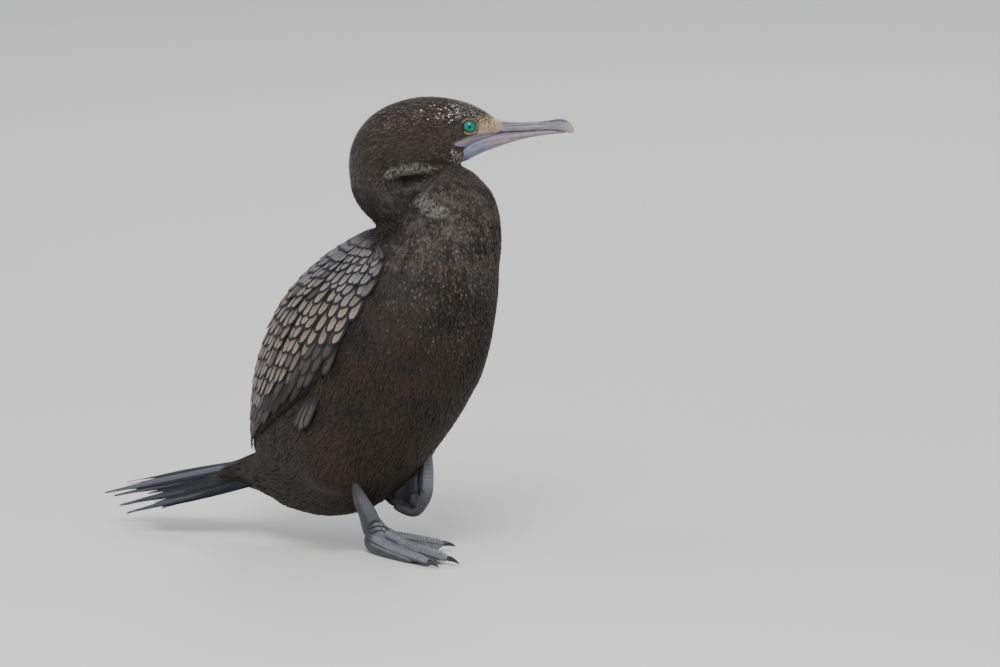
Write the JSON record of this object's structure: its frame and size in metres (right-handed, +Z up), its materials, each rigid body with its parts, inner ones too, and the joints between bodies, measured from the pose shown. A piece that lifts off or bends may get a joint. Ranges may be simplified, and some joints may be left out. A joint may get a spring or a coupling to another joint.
{
  "type": "cormorant figure",
  "caption": "Life-size still cormorant standing on its right foot, the left foot drawn up, neck folded and head turned to its left over its shoulder.",
  "frame": {"origin": "on the floor, on the sole of the right foot between the middle and inner toes", "axes": "+X the way the breast faces, +Y to the bird's left, +Z up"},
  "size_m": [0.3123, 0.1309, 0.3076],
  "materials": {
    "plumage": "charcoal brown contour feathers, faintly glossy",
    "neck_plumage": "short dense brown-black feathers, satin",
    "wing_plumage": "scaly wing feathers, pale grey-brown with near-black edges",
    "tail_vane": "stiff narrow blue-black feathers, worn at the tips",
    "bill_horn": "grey-lilac horn, semi-gloss",
    "gular_skin": "bare lilac-blue skin, satin",
    "iris": "green-blue eye, wet gloss",
    "leg_skin": "scaled grey-black skin, satin",
    "claw_horn": "black horn, semi-gloss"
  },
  "bodies": {
    "root": {"torso": "plumage", "rump": "plumage", "thigh_left": "plumage", "thigh_right": "plumage", "head": "neck_plumage", "neck_upper": "neck_plumage", "neck_lower": "neck_plumage", "wing_left": "wing_plumage", "wing_right": "wing_plumage", "tail": "tail_vane", "bill_upper": "bill_horn", "bill_lower": "gular_skin", "eye_left": "iris", "eye_right": "iris", "tarsus_left": "leg_skin", "tarsus_right": "leg_skin", "foot_left": "leg_skin", "foot_right": "leg_skin", "claw_left_inner": "claw_horn", "claw_left_middle": "claw_horn", "claw_left_outer": "claw_horn", "claw_right_hind": "claw_horn", "claw_right_inner": "claw_horn", "claw_right_middle": "claw_horn", "claw_right_outer": "claw_horn"}
  },
  "joints": []
}
